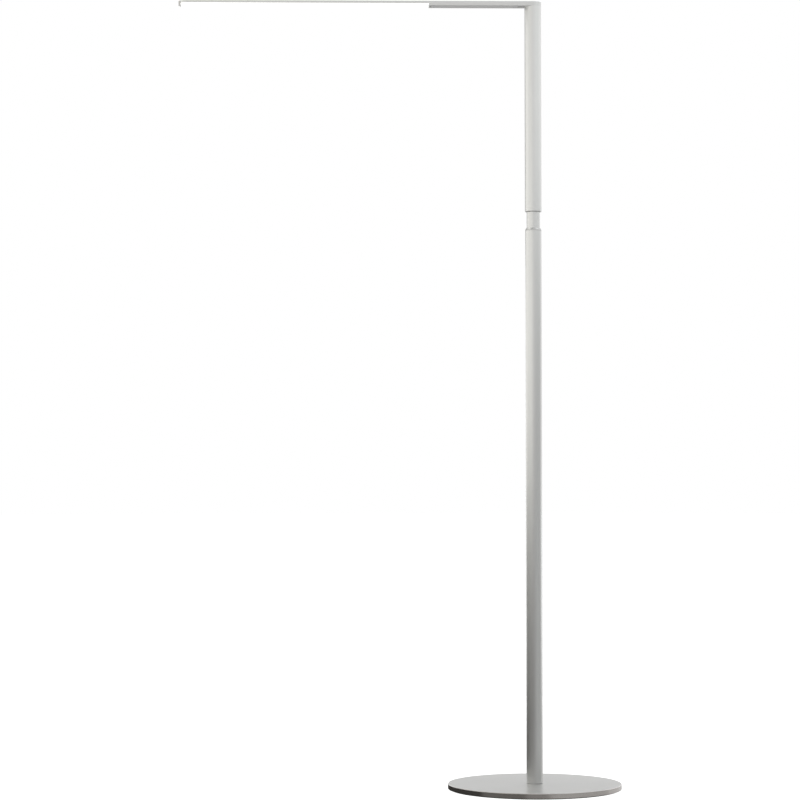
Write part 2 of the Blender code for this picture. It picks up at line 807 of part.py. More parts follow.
def small_screw_hole(name, x, y, z):
    """Cutter for one of the small screws, driven in from below."""
    tool = screw_hole(name, COVER_SCREW_HEAD, COVER_SCREW_RADIUS, COVER_SCREW_LENGTH)
    tool.rotation_euler.x = pi
    tool.location = (x, y, z)
    return tool


def make_arm_frame(finish):
    """The metal bar: full depth over the driver, a thin web with two snap ribs over the LED strip."""
    outline = arm_outline(arm_half, arm_half, frame_end)
    frame = prism("arm_frame", outline, arm_bottom, arm_top, finish)
    below = arm_bottom - CUT_MARGIN
    wide = (-arm_half - CUT_MARGIN, arm_half + CUT_MARGIN)
    beyond = -ARM_REACH - CUT_MARGIN
    cut(frame, block("cut_under_ribs", (beyond, lit_start), wide, below, rib_bottom))
    cut(frame, block("cut_tip", (beyond, rib_end), wide, below, web_under))
    cut(frame, block("cut_rib_start", (rib_start, lit_start), wide, below, web_under))
    for number, side in enumerate((-1, 1), start=1):
        strip = (side * rib_outer, side * (arm_half + CUT_MARGIN))
        cut(frame, block(f"cut_beside_rib_{number}", (beyond, lit_start), sorted(strip), below, web_under))
    between = (-rib_inner, rib_inner)
    cut(frame, block("cut_board_recess", (rib_end, rib_start), between, below, web_under + BOARD_RECESS))
    cover_hole = slab_outline(-COVER_START + GAP, cover_end - GAP, cover_half + GAP, COVER_CORNER + GAP)
    cut(frame, prism("cut_cover_rebate", cover_hole, below, cover_top + GAP))
    pocket = slab_outline(pocket_start, pocket_end, pocket_half, COVER_CORNER)
    cut(frame, prism("cut_driver_pocket", pocket, below, pocket_top))
    channel = (-CORNER_BORE, CORNER_BORE)
    roof = arm_lead_height + ARM_LEAD_RADIUS + GAP
    cut(frame, block("cut_lead_channel", (pocket_start - CUT_MARGIN, CORNER_BORE), channel, below, roof))
    led_channel = (lit_start - CUT_MARGIN, pocket_end + CUT_MARGIN)
    cut(frame, block("cut_led_channel", led_channel, channel, below, roof))
    cut(frame, turned("cut_touch_recess", rod_outline(touch_recess, touch_floor, arm_top + CUT_MARGIN)))
    for number, side in enumerate((-1, 1), start=1):
        tool = screw_hole(f"cut_corner_screw_{number}", CORNER_SCREW_HEAD, CORNER_SCREW_RADIUS, ARM_THICKNESS)
        tool.location = (0, side * corner_screw_at, touch_floor)
        cut(frame, tool)
    for number, place in enumerate(cover_screw_places(), start=1):
        cut(frame, small_screw_hole(f"cut_frame_screw_{number}", *place))
    cut(frame, small_screw_hole("cut_frame_end_screw", *end_cap_screw_place()))
    return frame


def make_driver_cover(finish):
    """Flush plate under the driver pocket, with four countersunk holes."""
    outline = slab_outline(-COVER_START, cover_end, cover_half, COVER_CORNER)
    cover = prism("driver_cover", outline, arm_bottom, cover_top, finish)
    for number, place in enumerate(cover_screw_places(), start=1):
        cut(cover, small_screw_hole(f"cut_cover_screw_{number}", *place))
    return cover


def make_driver(finishes):
    """Driver board and the parts on its underside."""
    start, end = pocket_start - 2 * GAP, pocket_end + 2 * GAP
    half = pocket_half - GAP
    outline = slab_outline(start, end, half, COVER_CORNER)
    board = prism("driver_board", outline, board_bottom, pocket_top - GAP, finishes["circuit_board"])
    top = board_bottom - GAP
    length = start - end
    dark = finishes["component_black"]
    coil_centre = start - length * 0.30
    coil_half = half * 0.55
    low = top - component_height + GAP
    coil_plan = slab_outline(coil_centre - coil_half, coil_centre + coil_half, coil_half, coil_half / 4)
    coil = prism("driver_coil", coil_plan, low, top, dark)
    chip_centre = start - length * 0.52
    chip_half = half * 0.30
    chip = block("driver_chip", (chip_centre - chip_half, chip_centre + chip_half), (-chip_half, chip_half),
                 top - component_height * 0.6, top, dark)
    capacitor_centre = start - length * 0.74
    capacitor = block("driver_capacitor", (capacitor_centre - chip_half, capacitor_centre + chip_half),
                      (-half * 0.5, half * 0.5), top - component_height * 0.8, top, finishes["zinc_steel"])
    return [board, coil, chip, capacitor]


def make_diffuser(finish):
    """Opal trough under the LED strip, closed at both ends."""
    start = lit_start - GAP
    end = frame_end
    outer = arm_outline(diffuser_half, start, end)
    trough = prism("diffuser", outer, diffuser_bottom, diffuser_top, finish, bottom_round=DIFFUSER_ROUND)
    inner = arm_outline(diffuser_half - DIFFUSER_WALL, start - DIFFUSER_WALL, end + DIFFUSER_WALL)
    inner_round = DIFFUSER_ROUND - DIFFUSER_WALL
    cavity_top = diffuser_top + CUT_MARGIN
    cut(trough, prism("cut_diffuser_inside", inner, diffuser_floor, cavity_top, bottom_round=inner_round))
    notch = (-CORNER_BORE, CORNER_BORE)
    entry = (start - DIFFUSER_WALL - CUT_MARGIN, start + CUT_MARGIN)
    notch_floor = led_lead_height - LED_LEAD_RADIUS - GAP
    cut(trough, block("cut_diffuser_entry", entry, notch, notch_floor, cavity_top))
    tongue_half = TONGUE_WIDTH / 2 + GAP
    beside_cap = (end - CUT_MARGIN, end + DIFFUSER_WALL + CUT_MARGIN)
    slot = (-tongue_half, tongue_half)
    cut(trough, block("cut_diffuser_tongue", beside_cap, slot, tongue_bottom - GAP, cavity_top))
    return trough


def make_end_cap(finish):
    """Metal lip that closes the tip, with a tongue screwed under the web."""
    cap = prism("end_cap", arm_outline(arm_half, cap_start, -ARM_REACH), arm_bottom, arm_top, finish)
    along = (cap_start - END_CAP_DEPTH / 2, cap_start + TONGUE_LENGTH)
    across = (-TONGUE_WIDTH / 2, TONGUE_WIDTH / 2)
    join(cap, block("add_tongue", along, across, tongue_bottom, tongue_top))
    cut(cap, small_screw_hole("cut_tongue_screw", *end_cap_screw_place()))
    return cap


def make_leds(finish):
    """LED packages spaced evenly under the board."""
    leds = []
    first = led_board_start
    last = rib_end + GAP
    pitch = (first - last) / LED_COUNT
    for number in range(1, LED_COUNT + 1):
        centre = first - pitch * (number - 0.5)
        x_range = (centre - LED_LENGTH / 2, centre + LED_LENGTH / 2)
        y_range = (-LED_WIDTH / 2, LED_WIDTH / 2)
        leds.append(block(f"led_{number:02d}", x_range, y_range, led_top - LED_THICKNESS, led_top, finish))
    return leds


def make_touch_parts(finishes):
    """Round touch surface flush with the top of the arm, over its sensor board."""
    disc = rod_outline(touch_recess - GAP, arm_top - TOUCH_DISC_THICKNESS, arm_top)
    bottom = touch_floor + GAP
    sensor = rod_outline(touch_recess * TOUCH_SENSOR_SHARE, bottom, bottom + TOUCH_SENSOR_THICKNESS)
    return [
        turned("touch_disc", disc, finishes["touch_plastic"]),
        turned("touch_sensor", sensor, finishes["circuit_board"], sides=SMALL_SIDES),
    ]


def make_screws(finish):
    """The screws of the corner, the driver cover and the end cap."""
    screws = []
    corner_size = (CORNER_SCREW_HEAD, CORNER_SCREW_RADIUS, CORNER_SCREW_LENGTH)
    for number, side in enumerate((-1, 1), start=1):
        screw = turned_screw(f"corner_screw_{number}", *corner_size, finish)
        screw.location = (0, side * corner_screw_at, touch_floor)
        screws.append(screw)
    names = [f"cover_screw_{number}" for number in range(1, 5)] + ["end_cap_screw"]
    for name, place in zip(names, cover_screw_places() + [end_cap_screw_place()]):
        screw = turned_screw(name, COVER_SCREW_HEAD, COVER_SCREW_RADIUS, COVER_SCREW_LENGTH, finish)
        screw.rotation_euler.x = pi
        screw.location = place
        screws.append(screw)
    return screws


def make_arm_body(finishes):
    """Everything that turns about the pole."""
    metal, steel = finishes["satin_metal"], finishes["zinc_steel"]
    bearing, jacket = finishes["white_bearing"], finishes["cable_jacket"]
    pole = tube_outline(upper_outer, upper_inner, upper_foot, upper_head, UPPER_TUBE_WALL * 0.7, GAP / 3)
    low_bushing = upper_foot + 2 * GAP + UPPER_TUBE_WALL
    high_bushing = neck_head - SWIVEL_BUSHING_LENGTH - GAP
    pieces = [turned("upper_pole", pole, metal)]
    for name, bottom in (("swivel_bushing_lower", low_bushing), ("swivel_bushing_upper", high_bushing)):
        outline = tube_outline(bushing_outer, bushing_inner, bottom, bottom + SWIVEL_BUSHING_LENGTH)
        pieces.append(turned(name, outline, bearing))
    led_board = slab_outline(led_board_start, rib_end + GAP, rib_inner - GAP, GAP)
    led_lead_ends = (pocket_end + CUT_MARGIN, led_board_start - 2 * CUT_MARGIN)
    led_lead_route = [(x, 0, led_lead_height) for x in led_lead_ends]
    pieces += [
        make_swivel_plate(metal),
        make_stop_pin(steel),
        make_corner_plug(metal),
        make_arm_frame(metal),
        make_driver_cover(metal),
        lead("arm_lead", arm_lead_route(), ARM_LEAD_RADIUS, jacket),
        lead("led_lead", led_lead_route, LED_LEAD_RADIUS, jacket),
        prism("led_board", led_board, led_board_bottom, led_board_top, finishes["circuit_board"]),
        make_diffuser(finishes["opal_diffuser"]),
        make_end_cap(metal),
    ]
    pieces += make_driver(finishes)
    pieces += make_leds(finishes["led_emitter"])
    pieces += make_touch_parts(finishes)
    pieces += make_screws(steel)
    return pieces


# ---- The lamp -----------------------------------------------------------------------------------

def main():
    """Clear the file and build the lamp."""
    for old in list(bpy.data.objects):
        bpy.data.objects.remove(old)
    finishes = make_materials()
    mount_on(axis_empty("base_frame", 0.0), make_base_body(finishes))
    mount_on(axis_empty("height_slide_axis", LOWER_POLE_TOP), make_neck_body(finishes))
    mount_on(axis_empty("arm_swivel_axis", upper_foot), make_arm_body(finishes))


main()
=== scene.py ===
"""Looks of the adjustable arm floor lamp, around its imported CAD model.

Metres, +Z up. The origin is on the floor, under the pole's axis. The arm reaches along -X.
"""

from math import acos, cos, pi, radians, sin, tan, tau

import bmesh
import bpy
from mathutils import Matrix, Vector


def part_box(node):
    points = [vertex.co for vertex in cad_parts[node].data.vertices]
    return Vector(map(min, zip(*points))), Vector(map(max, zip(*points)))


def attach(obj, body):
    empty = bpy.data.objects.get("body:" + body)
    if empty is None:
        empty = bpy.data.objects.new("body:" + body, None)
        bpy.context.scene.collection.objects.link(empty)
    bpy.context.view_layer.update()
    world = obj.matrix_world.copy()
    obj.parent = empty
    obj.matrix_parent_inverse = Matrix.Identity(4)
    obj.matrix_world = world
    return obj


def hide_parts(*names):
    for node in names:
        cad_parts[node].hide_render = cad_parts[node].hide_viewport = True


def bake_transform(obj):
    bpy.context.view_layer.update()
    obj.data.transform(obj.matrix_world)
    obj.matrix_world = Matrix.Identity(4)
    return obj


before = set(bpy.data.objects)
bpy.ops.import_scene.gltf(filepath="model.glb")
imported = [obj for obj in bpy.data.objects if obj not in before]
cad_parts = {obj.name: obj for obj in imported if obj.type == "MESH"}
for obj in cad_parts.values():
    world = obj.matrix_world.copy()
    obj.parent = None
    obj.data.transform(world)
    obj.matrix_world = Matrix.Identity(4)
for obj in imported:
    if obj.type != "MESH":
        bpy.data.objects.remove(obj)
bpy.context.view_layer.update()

scene = bpy.context.scene

# ---- Sizes ---------------------------------------------------------------------------------------

GAP = 0.0003
CUT_MARGIN = 0.002
FINE_EDGE = 0.0001
SOFT_EDGE = 0.0002
BROKEN_EDGE = 0.0003
TUBE_SIDES = 96
DISC_SIDES = 256
SMALL_SIDES = 48
SHARP_ANGLE = radians(32)

# ---- Camera --------------------------------------------------------------------------------------

# The lens is in millimetres, and the three angles are in degrees.
LENS = 115.28
CAMERA_PLACE = (-0.2889, -3.7562, 0.4536)
CAMERA_YAW = -1.408
CAMERA_PITCH = 1.763
CAMERA_ROLL = -0.051


def make_camera():
    """Long lens, nearly level, a little to the left of the pole."""
    data = bpy.data.cameras.new("camera")
    data.lens = LENS
    data.sensor_width = 36.0
    data.clip_end = 200.0
    camera = bpy.data.objects.new("camera", data)
    scene.collection.objects.link(camera)
    turn = Matrix.Rotation(radians(CAMERA_YAW), 4, "Z")
    tilt = Matrix.Rotation(pi / 2 + radians(CAMERA_PITCH), 4, "X")
    roll = Matrix.Rotation(radians(CAMERA_ROLL), 4, "Z")
    camera.matrix_world = Matrix.Translation(CAMERA_PLACE) @ turn @ tilt @ roll
    scene.camera = camera


# ---- Materials -----------------------------------------------------------------------------------

SMUDGE_CELLS = 14.0
# Pointiness is 0.5 where the surface is flat, and more on an outer edge.
# Outer edges are painted lighter: partly wear, partly a painted edge highlight.
WEAR_AND_HIGHLIGHT_FROM = 0.52
WEAR_AND_HIGHLIGHT_TO = 0.62
WEAR_AND_HIGHLIGHT_SHADE = 1.35


def add_node(tree, kind, values=None, **settings):
    """Node of a kind, with its settings and its input values."""
    made = tree.nodes.new(kind)
    for name, value in settings.items():
        setattr(made, name, value)
    for name, value in (values or {}).items():
        made.inputs[name].default_value = value
    return made


def shade(colour, factor):
    """Colour times a factor, with its alpha."""
    return (*(min(1.0, channel * factor) for channel in colour), 1.0)


def make_finish(name, colour, roughness, metallic=0.0, grain=900.0, stretch=(1.0, 1.0, 1.0),
                tint=0.05, spread=0.06, bump=0.00001, wear_and_highlight=0.0, smudge=0.03, glow=0.0, glow_colour=None):
    """Procedural finish.

    grain is the fine texture's cells per metre, and stretch multiplies it along each axis. tint, spread and
    bump are how far it moves the colour, the roughness and the surface. smudge is a slow change of roughness.
    wear_and_highlight lightens the outer edges: worn metal, and a painted edge highlight.
    """
    made = bpy.data.materials.new(name)
    made.use_nodes = True
    tree = made.node_tree
    shader = tree.nodes["Principled BSDF"]
    link = tree.links.new
    place = add_node(tree, "ShaderNodeTexCoord").outputs["Object"]
    mapping = add_node(tree, "ShaderNodeMapping", {"Scale": stretch})
    link(place, mapping.inputs["Vector"])
    fine = add_node(tree, "ShaderNodeTexNoise", {"Scale": grain, "Detail": 4.0, "Roughness": 0.6})
    link(mapping.outputs["Vector"], fine.inputs["Vector"])
    slow = add_node(tree, "ShaderNodeTexNoise", {"Scale": SMUDGE_CELLS, "Detail": 3.0, "Roughness": 0.5})
    link(place, slow.inputs["Vector"])

    mix = add_node(tree, "ShaderNodeMix", data_type="RGBA")
    mix.inputs["A"].default_value = shade(colour, 1 - tint)
    mix.inputs["B"].default_value = shade(colour, 1 + tint)
    link(fine.outputs["Fac"], mix.inputs["Factor"])
    tone = mix.outputs["Result"]
    # Lighter outer edges: wear, and a painted edge highlight.
    if wear_and_highlight:
        edges = add_node(tree, "ShaderNodeNewGeometry")
        ramp = add_node(tree, "ShaderNodeMapRange",
                        {"From Min": WEAR_AND_HIGHLIGHT_FROM, "From Max": WEAR_AND_HIGHLIGHT_TO, "To Min": 0.0, "To Max": wear_and_highlight})
        link(edges.outputs["Pointiness"], ramp.inputs["Value"])
        wear_and_highlight_mix = add_node(tree, "ShaderNodeMix", data_type="RGBA")
        wear_and_highlight_mix.inputs["B"].default_value = shade(colour, WEAR_AND_HIGHLIGHT_SHADE)
        link(ramp.outputs["Result"], wear_and_highlight_mix.inputs["Factor"])
        link(tone, wear_and_highlight_mix.inputs["A"])
        tone = wear_and_highlight_mix.outputs["Result"]
    link(tone, shader.inputs["Base Color"])

    rough = add_node(tree, "ShaderNodeMapRange", {"To Min": roughness - spread, "To Max": roughness + spread})
    link(fine.outputs["Fac"], rough.inputs["Value"])
    drift = add_node(tree, "ShaderNodeMapRange", {"To Min": -smudge, "To Max": smudge})
    link(slow.outputs["Fac"], drift.inputs["Value"])
    total = add_node(tree, "ShaderNodeMath", operation="ADD", use_clamp=True)
    link(rough.outputs["Result"], total.inputs[0])
    link(drift.outputs["Result"], total.inputs[1])
    link(total.outputs["Value"], shader.inputs["Roughness"])

    relief = add_node(tree, "ShaderNodeBump", {"Strength": 1.0, "Distance": bump})
    link(fine.outputs["Fac"], relief.inputs["Height"])
    link(relief.outputs["Normal"], shader.inputs["Normal"])

    shader.inputs["Metallic"].default_value = metallic
    if glow:
        shader.inputs["Emission Color"].default_value = (*(glow_colour or colour), 1.0)
        shader.inputs["Emission Strength"].default_value = glow
    return made


def make_finishes():
    """Every finish of the lamp, by its name."""
    silver = (0.60, 0.60, 0.59)
    return {
        "tube_metal": make_finish("tube_metal", silver, 0.36, 0.9, grain=2200.0, stretch=(1, 1, 0.03),
                                  tint=0.03, spread=0.05, bump=0.000003, wear_and_highlight=0.3),
        "arm_metal": make_finish("arm_metal", silver, 0.36, 0.9, grain=2200.0, stretch=(0.03, 1, 1),
                                 tint=0.03, spread=0.05, bump=0.000003),
        # Darker copy of the silver for the tip lip: painted shade, since the lip stands in shadow.
        "shaded_lip_metal": make_finish("shaded_lip_metal", (0.36, 0.355, 0.345), 0.36, 0.9, grain=2400.0,
                                 tint=0.04, spread=0.05, bump=0.000003),
        # Darker, warmer copy of the silver for the base's rim: a painted reflection of a dark brown floor.
        "base_rim_reflection": make_finish("base_rim_reflection", (0.50, 0.47, 0.45), 0.20, 0.95, grain=2600.0, stretch=(1, 1, 0.2),
                                tint=0.06, spread=0.05, bump=0.000002, wear_and_highlight=0.2),
        "base_metal": make_finish("base_metal", silver, 0.36, 0.9, grain=2600.0,
                                  tint=0.05, spread=0.06, bump=0.000004),
        "zinc_steel": make_finish("zinc_steel", (0.55, 0.56, 0.58), 0.34, 1.0, grain=1800.0,
                                  tint=0.08, spread=0.08, bump=0.000006),
        "black_rubber": make_finish("black_rubber", (0.028, 0.028, 0.028), 0.78, grain=1500.0,
                                    tint=0.25, spread=0.08, bump=0.00003),
        "white_bearing": make_finish("white_bearing", (0.80, 0.80, 0.77), 0.42, grain=1100.0,
                                     tint=0.03, spread=0.06, bump=0.000008),
        "cable_jacket": make_finish("cable_jacket", (0.72, 0.72, 0.70), 0.48, grain=1500.0,
                                    tint=0.04, spread=0.06, bump=0.00001),
        "circuit_board": make_finish("circuit_board", (0.80, 0.81, 0.79), 0.42, grain=1600.0,
                                     tint=0.04, spread=0.06, bump=0.000006),
        "component_black": make_finish("component_black", (0.035, 0.035, 0.04), 0.42, grain=1800.0,
                                       tint=0.2, spread=0.1, bump=0.00001),
        "capacitor_metal": make_finish("capacitor_metal", (0.10, 0.11, 0.14), 0.35, grain=900.0,
                                       tint=0.08, spread=0.05, bump=0.000006),
        "copper_wire": make_finish("copper_wire", (0.72, 0.36, 0.20), 0.28, 1.0, grain=2400.0,
                                   tint=0.08, spread=0.05, bump=0.000004),
        "led_emitter": make_finish("led_emitter", (0.95, 0.80, 0.40), 0.35, grain=2500.0, tint=0.1,
                                   spread=0.05, bump=0.00001, glow=8.0, glow_colour=(1.0, 0.94, 0.84)),
        "opal_diffuser": make_finish("opal_diffuser", (0.48, 0.48, 0.47), 0.45, grain=1400.0, tint=0.02,
                                     spread=0.05, bump=0.00001, glow=0.82, glow_colour=(1.0, 0.995, 0.985)),
        "touch_plastic": make_finish("touch_plastic", (0.42, 0.42, 0.42), 0.30, grain=1200.0,
                                     tint=0.04, spread=0.05, bump=0.000006),
    }


# ---- Mesh helpers --------------------------------------------------------------------------------

ON_AXIS = 1e-7
# Faces that turn by less than SAME_PLANE are merged, and edges sharper than ROUNDED_FROM are rounded.
SAME_PLACE = 2e-6
SAME_PLANE = radians(1)
ROUNDED_FROM = radians(40)


def rounded(corners, steps=5, hold=0.15):
    """Outline through (x, y, radius) corners, each corner turned into an arc of its radius.

    A point just beyond each end of an arc, hold times its radius away, keeps the straight runs straight.
    """
    outline = []
    count = len(corners)
    for index, (x, y, radius) in enumerate(corners):
        corner = Vector((x, y))
        if radius <= 0:
            outline.append((x, y))
            continue
        before = (Vector(corners[index - 1][:2]) - corner).normalized()
        after = (Vector(corners[(index + 1) % count][:2]) - corner).normalized()
        half_angle = acos(max(-1.0, min(1.0, before.dot(after)))) / 2
        start = corner + before * (radius / tan(half_angle))
        end = corner + after * (radius / tan(half_angle))
        centre = corner + (before + after).normalized() * (radius / sin(half_angle))
        sweep = pi - 2 * half_angle
        outline.append(tuple(start + before * (radius * hold)))
        for step in range(steps + 1):
            turned_by = sweep * step / steps
            from_start = (start - centre) * sin(sweep - turned_by)
            from_end = (end - centre) * sin(turned_by)
            outline.append(tuple(centre + (from_start + from_end) / sin(sweep)))
        outline.append(tuple(end + after * (radius * hold)))
    return outline


def crease(bm):
    """Outward normals, smooth faces, and crisp edges where the surface bends sharply."""
    bmesh.ops.recalc_face_normals(bm, faces=bm.faces)
    for face in bm.faces:
        face.smooth = True
    for edge in bm.edges:
        edge.smooth = edge.calc_face_angle(0.0) < SHARP_ANGLE


def piece_from(bm, name, finish):
    """Object of a finished bmesh."""
    crease(bm)
    mesh = bpy.data.meshes.new(name)
    bm.to_mesh(mesh)
    bm.free()
    made = bpy.data.objects.new(name, mesh)
    scene.collection.objects.link(made)
    if finish:
        mesh.materials.append(finish)
    return made


def skin(bm, rings):
    """Faces between rings of equally many points, and one across each end."""
    for ring, following in zip(rings, rings[1:]):
        for side, point in enumerate(ring):
            beside = (side + 1) % len(ring)
            bm.faces.new((point, ring[beside], following[beside], following[side]))
    bm.faces.new(rings[0])
    bm.faces.new(rings[-1])


def move(piece, place, turn=None):
    """Moves a piece's mesh to a place, after a turn."""
    piece.data.transform(Matrix.Translation(place) @ (turn or Matrix.Identity(4)))


def turned(name, outline, finish=None, sides=TUBE_SIDES):
    """Solid of revolution about the Z axis, from a closed (radius, height) outline."""
    bm = bmesh.new()
    rings = []
    for radius, height in outline:
        if radius < ON_AXIS:
            rings.append([bm.verts.new((0, 0, height))])
            continue
        turns = [tau * side / sides for side in range(sides)]
        rings.append([bm.verts.new((radius * cos(turn), radius * sin(turn), height)) for turn in turns])
    for index, ring in enumerate(rings):
        following = rings[(index + 1) % len(rings)]
        if len(ring) == 1 and len(following) == 1:
            continue
        for side in range(sides):
            corners = [
                ring[side % len(ring)],
                ring[(side + 1) % len(ring)],
                following[(side + 1) % len(following)],
                following[side % len(following)],
            ]
            bm.faces.new(list(dict.fromkeys(corners)))
    return piece_from(bm, name, finish)


def refined(node, name, finish, edge, steps=2, keep_sharp=None):
    """Copy of a CAD node with its flat faces merged and its sharp edges rounded.

    keep_sharp says of an edge's middle whether it stays as it is.
    """
    bm = bmesh.new()
    bm.from_mesh(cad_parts[node].data)
    bmesh.ops.remove_doubles(bm, verts=bm.verts, dist=SAME_PLACE)
    bmesh.ops.dissolve_limit(bm, angle_limit=SAME_PLANE, verts=bm.verts, edges=bm.edges)
    sharp = [e for e in bm.edges if e.is_manifold and e.calc_face_angle(0.0) > ROUNDED_FROM]
    if keep_sharp:
        sharp = [e for e in sharp if not keep_sharp((e.verts[0].co + e.verts[1].co) / 2)]
    bmesh.ops.bevel(bm, geom=sharp, offset=edge, offset_type="OFFSET", segments=steps, profile=0.5,
                    affect="EDGES", clamp_overlap=True)
    made = piece_from(bm, name, finish)
    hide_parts(node)
    return made


def apply_modifiers(piece):
    """Replaces a piece's mesh by what its modifiers make of it."""
    bpy.context.view_layer.update()
    shaped = bpy.data.meshes.new_from_object(piece.evaluated_get(bpy.context.evaluated_depsgraph_get()))
    piece.modifiers.clear()
    rough = piece.data
    piece.data = shaped
    bpy.data.meshes.remove(rough)


def carve(target, tools):
    """Cuts the tools out of a piece, for good."""
    for tool in tools:
        modifier = target.modifiers.new(tool.name, "BOOLEAN")
        modifier.operation = "DIFFERENCE"
        modifier.object = tool
        modifier.solver = "EXACT"
    apply_modifiers(target)
    bm = bmesh.new()
    bm.from_mesh(target.data)
    crease(bm)
    bm.to_mesh(target.data)
    bm.free()
    for tool in tools:
        bpy.data.objects.remove(tool)


def even_normals(piece):
    """Lets the large faces set the normals, so that flat and straight surfaces shade as flat and straight."""
    modifier = piece.modifiers.new("even_normals", "WEIGHTED_NORMAL")
    modifier.mode = "FACE_AREA"
    modifier.weight = 100
    modifier.keep_sharp = True
    apply_modifiers(piece)


def place_on(body, slot, *made):
    """The pieces get even normals and ride on a body; slot is not used."""
    for piece in made:
        even_normals(piece)
        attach(piece, body)


# ---- Pole ----------------------------------------------------------------------------------------

LOWER_WALL = 0.0009
NECK_WALL = 0.0012
UPPER_WALL = 0.001
UPPER_MOUTH_EDGE = 0.0007


def tube(name, node, wall, finish, mouth, head, body, raised=0.0):
    """Turned tube in a CAD tube's place.

    mouth and head are the radii of its lower and upper outer rim; raised lengthens it upwards.
    """
    low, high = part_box(node)
    outer = high.x
    inner = outer - wall
    top = high.z + raised
    outline = rounded([
        (inner, low.z, FINE_EDGE),
        (outer, low.z, mouth),
        (outer, top, head),
        (inner, top, FINE_EDGE),
    ])
    made = turned(name, outline, finish)
    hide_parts(node)
    place_on(body, "satin_metal", made)


def make_pole(finishes):
    """Lower tube, its end ring, the neck tube and the upper tube."""
    metal = finishes["tube_metal"]
    tube("lower_tube", "lower_pole", LOWER_WALL, metal, SOFT_EDGE, FINE_EDGE, "base")
    tube("neck_tube", "neck_pole", NECK_WALL, metal, SOFT_EDGE, SOFT_EDGE, "neck")
    tube("upper_tube", "upper_pole", UPPER_WALL, metal, UPPER_MOUTH_EDGE, 0, "arm", raised=GAP)
    make_end_ring(metal)


def make_end_ring(metal):
    """Chamfered ring in the lower tube's mouth."""
    low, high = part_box("pole_collar")
    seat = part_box("lower_pole")[1].z + GAP
    outer = high.x
    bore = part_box("neck_pole")[1].x + GAP
    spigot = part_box("guide_liner")[1].x
    shoulder = seat + (high.z - seat) * 0.22
    outline = rounded([
        (bore, low.z, FINE_EDGE),
        (spigot, low.z, SOFT_EDGE),
        (spigot, seat, 0),
        (outer, seat, 0.00015),
        (outer, shoulder, 0.0004),
        (bore + GAP, high.z, FINE_EDGE),
        (bore, high.z - FINE_EDGE, 0),
    ])
    made = turned("end_ring", outline, metal)
    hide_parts("pole_collar")
    place_on("base", "satin_metal", made)


# ---- Base ----------------------------------------------------------------------------------------

LEAD_RADIUS = 0.0013
LEAD_HOLE = 0.0022
CHANNEL_HALF = 0.00175
BOLT_HOLE = 0.0033
BASE_WEB = 0.0031
TOP_EDGE = 0.0009
BOTTOM_EDGE = 0.00045
PAD_GROOVES = (0.30, 0.50, 0.70, 0.88)
GROOVE_DEPTH = 0.00025
GROOVE_MOUTH = 0.0012
GROOVE_FLOOR = 0.0009


def fill_box(bm, low, high):
    """Plain box from a low to a high corner."""
    size = Vector(high) - Vector(low)
    centre = (Vector(high) + Vector(low)) / 2
    place = Matrix.Translation(centre) @ Matrix.Diagonal((*size, 1.0))
    bmesh.ops.create_cube(bm, size=1.0, matrix=place)


def block(name, low, high):
    """Plain cutter from a low to a high corner."""
    bm = bmesh.new()
    fill_box(bm, low, high)
    return piece_from(bm, name, None)


def make_base_disc(metal, rim_reflection_metal):
    """Heavy disc with fine rounded rims, a counterbore and the lead's channel below."""
    low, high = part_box("base_plate")
    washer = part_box("base_washer")[1].x
    gland_low, gland_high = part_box("cable_gland")
    radius = high.x
    web = high.z - BASE_WEB
    counterbore = washer + GAP
    under_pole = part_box("lower_pole")[1].x * 0.98
    outline = rounded([
        (BOLT_HOLE, web, 0),
        (counterbore, web, 0),
        (counterbore, low.z, SOFT_EDGE),
        (radius, low.z, BOTTOM_EDGE),
        (radius, high.z, TOP_EDGE),
        (under_pole, high.z, 0),
        (BOLT_HOLE, high.z, SOFT_EDGE),
    ], steps=7)
    disc = turned("base_disc", outline, metal, sides=DISC_SIDES)
    below = low.z - CUT_MARGIN
    above = high.z + CUT_MARGIN
    beyond = radius + CUT_MARGIN
    riser_outline = [(0, below), (LEAD_HOLE, below), (LEAD_HOLE, above), (0, above)]
    riser = turned("cut_riser", riser_outline, sides=SMALL_SIDES)
    lead_offset = washer + LEAD_HOLE + 3 * GAP
    riser.location.y = lead_offset
    riser.rotation_euler.z = pi / SMALL_SIDES
    channel = block("cut_channel", (-CHANNEL_HALF, lead_offset, below), (CHANNEL_HALF, beyond, gland_high.z))
    side = gland_high.x + GAP
    pocket = block("cut_pocket", (-side, gland_low.y - GAP, below), (side, beyond, gland_high.z + GAP))
    carve(disc, [riser, channel, pocket])
    # Faces round the rim take the darker, warmer finish: a painted reflection of a dark floor.
    disc.data.materials.append(rim_reflection_metal)
    for face in disc.data.polygons:
        if abs(face.normal.z) < 0.7 and face.center.xy.length > radius - TOP_EDGE:
            face.material_index = 1
    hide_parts("base_plate")
    place_on("base", "plated_steel", disc)


def make_foot_pad(rubber):
    """Thin non-slip pad with fine rings in its underside."""
    low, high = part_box("foot_pad")
    outer = high.x
    corners = [(0, low.z, 0)]
    for share in PAD_GROOVES:
        radius = outer * share
        corners += [
            (radius - GROOVE_MOUTH, low.z, 0),
            (radius - GROOVE_FLOOR, low.z + GROOVE_DEPTH, 0),
            (radius + GROOVE_FLOOR, low.z + GROOVE_DEPTH, 0),
            (radius + GROOVE_MOUTH, low.z, 0),
        ]
    corners += [(outer, low.z, SOFT_EDGE), (outer, high.z, SOFT_EDGE), (0, high.z, 0)]
    pad = turned("non_slip_pad", rounded(corners, steps=3), rubber, sides=DISC_SIDES)
    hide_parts("foot_pad")
    place_on("base", "black_rubber", pad)


